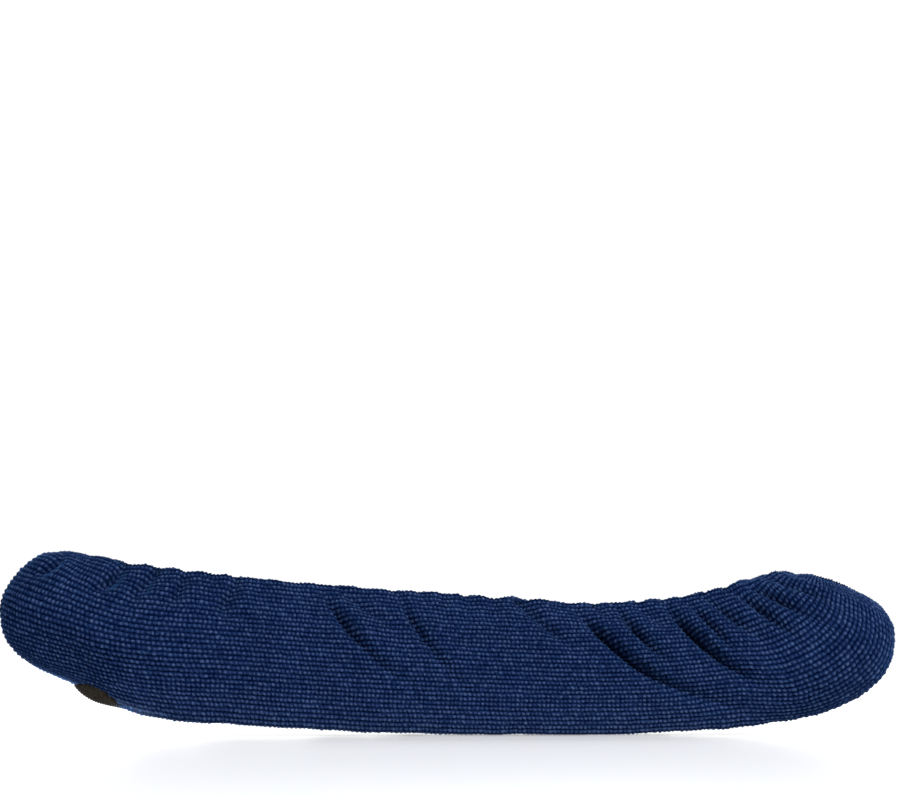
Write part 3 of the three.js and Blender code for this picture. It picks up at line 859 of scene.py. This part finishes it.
def terry_colour(tree, place):
    """Navy with painted shade in the gaps of the pile, painted highlights on its tips and, in the last stops,
    the painted edge light; a little uneven over the cloth.
    """
    pile = node(tree, "ShaderNodeAttribute", attribute_name="pile").outputs["Fac"]
    fibre = node(tree, "ShaderNodeTexNoise", [("Vector", place)], Scale=1500, Detail=3, Roughness=0.6)
    patch = node(tree, "ShaderNodeTexNoise", [("Vector", place)], Scale=75, Detail=3, Roughness=0.6)
    uneven = node(tree, "ShaderNodeMath", [(0, fibre.outputs["Fac"])], operation="MULTIPLY_ADD")
    uneven.inputs[1].default_value, uneven.inputs[2].default_value = 0.55, -0.28
    raised = node(tree, "ShaderNodeMath", [(0, pile), (1, uneven.outputs[0])], operation="ADD")
    scaled = node(tree, "ShaderNodeMath", [(0, raised.outputs[0])], operation="MULTIPLY")
    scaled.inputs[1].default_value = 0.65
    ramp = node(tree, "ShaderNodeValToRGB", [("Fac", scaled.outputs[0])])
    # Painted light: the low stops darken the gaps of the pile as painted shade, the higher ones pale its tips
    # as painted highlights, and the last stops are reached mostly where the painted edge light is added.
    set_ramp(ramp, [
        (0.065, 0.0001, 0.0017, 0.0125), (0.3575, 0.0056, 0.0145, 0.05), (0.65, 0.0345, 0.056, 0.12),
        (0.85, 0.036, 0.06, 0.13), (1.0, 0.06, 0.15, 0.36),
    ])
    shade = node(tree, "ShaderNodeMapRange", [("Value", patch.outputs["Fac"])])
    set_sockets(shade, From_Min=0.3, From_Max=0.7, To_Min=0.9, To_Max=1.1)
    links = [(0, ramp.outputs["Color"]), ("Scale", shade.outputs[0])]
    return node(tree, "ShaderNodeVectorMath", links, operation="SCALE").outputs[0]


def terry_material():
    """The navy terry of the sides, the facing, the seams and the lining."""
    material, tree, shader = new_material("navy_terry", 0.95)
    place = node(tree, "ShaderNodeTexCoord").outputs["Object"]
    tree.links.new(terry_colour(tree, place), shader.inputs["Base Color"])
    fuzz = node(tree, "ShaderNodeTexNoise", [("Vector", place)], Scale=2600, Detail=2, Roughness=0.7)
    bump = node(tree, "ShaderNodeBump", [("Height", fuzz.outputs["Fac"])], Strength=0.55, Distance=0.0004)
    tree.links.new(bump.outputs[0], shader.inputs["Normal"])
    set_sockets(shader, Specular_IOR_Level=0.0, Sheen_Weight=0.2, Sheen_Roughness=0.3)
    set_sockets(shader, Sheen_Tint=(0.1, 0.36, 1.0, 1))
    return material


def spun_material(name, dark, light, scale, roughness, strength):
    """Yarn or webbing: two tones of one colour in a fine noise, and a fibrous bump."""
    material, tree, shader = new_material(name, roughness)
    place = node(tree, "ShaderNodeTexCoord").outputs["Object"]
    fibre = node(tree, "ShaderNodeTexNoise", [("Vector", place)], Scale=scale, Detail=4, Roughness=0.65)
    ramp = node(tree, "ShaderNodeValToRGB", [("Fac", fibre.outputs["Fac"])])
    set_ramp(ramp, [(0.3, *dark), (0.7, *light)])
    tree.links.new(ramp.outputs["Color"], shader.inputs["Base Color"])
    bump = node(tree, "ShaderNodeBump", [("Height", fibre.outputs["Fac"])], Strength=strength, Distance=0.0002)
    tree.links.new(bump.outputs[0], shader.inputs["Normal"])
    set_sockets(shader, Specular_IOR_Level=0.1, Sheen_Weight=0.03)
    return material


# --- camera, light and floor ---
def set_view():
    """The photo's camera: a long lens, a little from the toe's side."""
    scene = bpy.context.scene
    scene.view_settings.view_transform = "Standard"
    lens = bpy.data.cameras.new("camera")
    lens.sensor_width, lens.lens = 36, 162.4
    aim = Vector((0, 0, 0.1233))
    distance, azimuth, height = 1.5, math.radians(-3), 0.052
    camera = bpy.data.objects.new("camera", lens)
    camera.location = (distance * math.sin(azimuth), -distance * math.cos(azimuth), height)
    camera.rotation_euler = (aim - camera.location).to_track_quat("-Z", "Y").to_euler()
    scene.collection.objects.link(camera)
    scene.camera = camera


def set_light():
    """A white room that is brighter towards the back, and three soft lamps."""
    scene = bpy.context.scene
    scene.world = bpy.data.worlds.new("studio")
    scene.world.use_nodes = True
    tree = scene.world.node_tree
    direction = node(tree, "ShaderNodeTexCoord").outputs["Generated"]
    parts = node(tree, "ShaderNodeSeparateXYZ", [("Vector", direction)])
    backdrop = node(tree, "ShaderNodeMapRange", [("Value", parts.outputs["Y"])])
    set_sockets(backdrop, From_Min=-0.1, From_Max=0.6, To_Min=0.28, To_Max=1.05)
    tree.links.new(backdrop.outputs[0], tree.nodes["Background"].inputs["Strength"])
    tree.nodes["Background"].inputs["Color"].default_value = (1, 1, 1, 1)
    lamps = (
        ("back", (-0.5, 1.3, 1.0), 0.8, 22),
        ("key", (0.5, -1.1, 0.9), 0.25, 35.5),
        ("low", (-0.9, -1.0, 0.1), 0.5, 7),
    )
    middle_of_cover = Vector((0, 0, 0.03))
    for name, place, size, power in lamps:
        lamp = bpy.data.lights.new(name, "AREA")
        lamp.size, lamp.energy = size, power
        light = bpy.data.objects.new(name, lamp)
        light.location = place
        light.rotation_euler = (middle_of_cover - light.location).to_track_quat("-Z", "Y").to_euler()
        scene.collection.objects.link(light)


def set_floor():
    """A pale, slightly shiny table under the cover."""
    far, z = 3000, -0.3
    corners = [(-far, -far, z), (far, -far, z), (far, far, z), (-far, far, z)]
    floor = mesh_object("floor", corners, [(0, 1, 2, 3)])
    material, _, shader = new_material("pale_floor", 0.15)
    set_sockets(shader, Base_Color=(0.6, 0.61, 0.63, 1), Emission_Color=(1, 1, 1, 1))
    set_sockets(shader, Emission_Strength=0.28, Specular_IOR_Level=0.3)
    floor.data.materials.append(material)


# --- putting it together ---
STAYS_TOE, STAYS_HEEL = (-136, -60), (55, 122)  # between these x the still ends give way to the moving middle
TACK_INSET, TACK_DROP = 4, 4  # of the bartacks from the ends of the mouth, and below the rim


def follow_side(obj, side, mirror):
    """The piece bends from the sole to its side of the mouth, and stays with the sole at the toe and heel."""
    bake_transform(obj, "sole", side, start=(0, mirror * 0.012, 0.002), end=(0, mirror * 0.012, 0.034))
    count = len(obj.data.vertices)
    place, weight = np.empty(count * 3), np.empty(count)
    obj.data.vertices.foreach_get("co", place)
    weights = obj.data.attributes["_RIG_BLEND"].data
    weights.foreach_get("value", weight)
    x = place[::3] / MM
    weight *= smooth(x, *STAYS_TOE) * (1 - smooth(x, *STAYS_HEEL))
    weights.foreach_set("value", weight.astype(np.float32))


def place_piece(obj, material, node_name):
    """Gives a piece its material in a new slot, and hides the CAD node that it stands for."""
    obj.data.materials.append(material)
    if node_name:
        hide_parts(node_name)


set_view()
set_light()
set_floor()
terry = terry_material()
webbing = spun_material("black_webbing", (0.0004, 0.0003, 0.0002), (0.023, 0.0165, 0.01), 1000, 0.9, 0.9)
elastic = spun_material("white_elastic", (0.5, 0.49, 0.46), (0.75, 0.74, 0.7), 1800, 0.75, 0.5)
thread = spun_material("navy_thread", (0.004, 0.012, 0.05), (0.02, 0.045, 0.14), 2600, 0.6, 0.5)

for word, mirror, seed in (("near", -1, 0), ("far", 1, 1)):
    panel = side_panel(f"{word}_terry_side", mirror, seed)
    facing = hem_facing(f"{word}_facing", mirror, seed)
    band = hem_elastic(f"{word}_elastic_band", mirror, seed)
    stitches = hem_stitching(f"{word}_hem_stitches", mirror, seed)
    place_piece(panel, terry, f"{word}_side_panel")
    place_piece(facing, terry, f"{word}_hem_facing")
    place_piece(band, elastic, f"{word}_elastic")
    place_piece(stitches, thread, f"{word}_hem_stitching")
    for piece in (panel, facing, band, stitches):
        follow_side(piece, f"{word}_side", mirror)

under = [(sole_strip(), webbing, "webbing", "sole_strip"), (sole_terry(), terry, "terry", "sole_terry")]
for word, mirror in (("near", -1), ("far", 1)):
    under.append((sole_stitching(f"{word}_sole_stitches", mirror), thread, "thread", f"{word}_sole_stitching"))
under += [
    (seam_allowance("toe_seam_allowance", TOE_SEAM, 41), terry, "terry", "toe_seam"),
    (seam_allowance("heel_seam_allowance", HEEL_SEAM, 42), terry, "terry", "heel_seam"),
    (overlock("toe_seam_overlock", TOE_SEAM), thread, "thread", None),
    (overlock("heel_seam_overlock", HEEL_SEAM), thread, "thread", None),
    (bartack("toe_tack_stitches", MOUTH_TOE + TACK_INSET, TACK_DROP), thread, "thread", "toe_bartack"),
    (bartack("heel_tack_stitches", MOUTH_HEEL - TACK_INSET, TACK_DROP), thread, "thread", "heel_bartack"),
]
for piece, material, slot, node_name in under:
    place_piece(piece, material, node_name)
    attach(piece, "sole")
